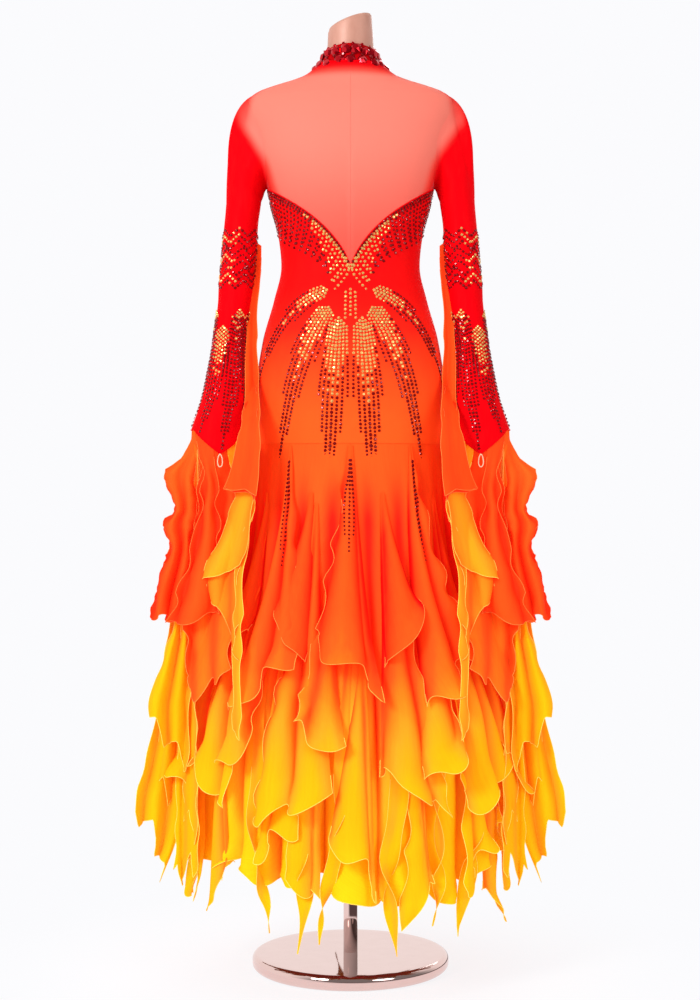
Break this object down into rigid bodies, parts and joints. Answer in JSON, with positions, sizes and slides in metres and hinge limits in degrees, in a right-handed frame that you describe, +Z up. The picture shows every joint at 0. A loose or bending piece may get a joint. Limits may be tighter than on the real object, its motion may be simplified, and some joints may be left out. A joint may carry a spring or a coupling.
{
  "type": "ballroom dance dress on a dress form",
  "caption": "Long-sleeved ballroom dance dress with a sheer yoke and a layered, ruffled chiffon skirt, on a limbless dress form with a pole and round base.",
  "frame": {"origin": "centre of the round base's underside, on the pole's axis", "axes": "+Z up along the pole, +Y towards the wearer's front, +X towards the wearer's right"},
  "size_m": [0.7602, 0.5371, 1.6971],
  "materials": {
    "rose_gold": "mirror-polished rose gold",
    "form_skin": "pearl blush",
    "sheer_red": "sheer stretch mesh",
    "crepe_red": "matt stretch crepe",
    "crystal_red": "faceted red crystals",
    "chiffon_orange": "soft chiffon",
    "chiffon_yellow": "soft chiffon",
    "elastic": "thin cord elastic"
  },
  "bodies": {
    "root": {"body_back": "crepe_red", "body_front": "crepe_red", "collar": "crystal_red", "finger_loop_left": "elastic", "finger_loop_right": "elastic", "flounce_back_1": "chiffon_orange", "flounce_back_2": "chiffon_orange", "flounce_back_3": "chiffon_orange", "flounce_front_1": "chiffon_orange", "flounce_front_2": "chiffon_orange", "flounce_front_3": "chiffon_orange", "flounce_side_1": "chiffon_orange", "flounce_side_2": "chiffon_orange", "flounce_side_3": "chiffon_orange", "flounce_side_4": "chiffon_orange", "form_torso": "form_skin", "panel_back_1": "chiffon_orange", "panel_back_2": "chiffon_orange", "panel_front_1": "chiffon_orange", "panel_front_2": "chiffon_orange", "panel_front_3": "chiffon_orange", "panel_front_4": "chiffon_orange", "panel_side_1": "chiffon_orange", "panel_side_2": "chiffon_orange", "panel_side_3": "chiffon_orange", "panel_side_4": "chiffon_orange", "ruffle_centre_left": "chiffon_orange", "ruffle_centre_right": "chiffon_orange", "ruffle_elbow_left": "chiffon_orange", "ruffle_elbow_right": "chiffon_orange", "ruffle_front_left": "chiffon_orange", "ruffle_front_right": "chiffon_orange", "ruffle_inner_left": "chiffon_orange", "ruffle_inner_right": "chiffon_orange", "ruffle_lower_1_left": "chiffon_orange", "ruffle_lower_1_right": "chiffon_orange", "ruffle_lower_2_left": "chiffon_orange", "ruffle_lower_2_right": "chiffon_orange", "ruffle_lower_3_left": "chiffon_orange", "ruffle_lower_3_right": "chiffon_orange", "ruffle_outer_left": "chiffon_orange", "ruffle_outer_right": "chiffon_orange", "ruffle_under_left": "chiffon_orange", "ruffle_under_right": "chiffon_orange", "skirt_left": "chiffon_orange", "skirt_right": "chiffon_orange", "sleeve_left": "crepe_red", "sleeve_right": "crepe_red", "stand_base": "rose_gold", "stand_pole": "rose_gold", "tail_back_1": "chiffon_yellow", "tail_back_2": "chiffon_yellow", "tail_back_3": "chiffon_yellow", "tail_back_4": "chiffon_yellow", "tail_back_5": "chiffon_yellow", "tail_front": "chiffon_yellow", "tail_side": "chiffon_yellow", "yoke_back_left": "sheer_red", "yoke_back_right": "sheer_red", "yoke_front": "sheer_red"}
  },
  "joints": []
}
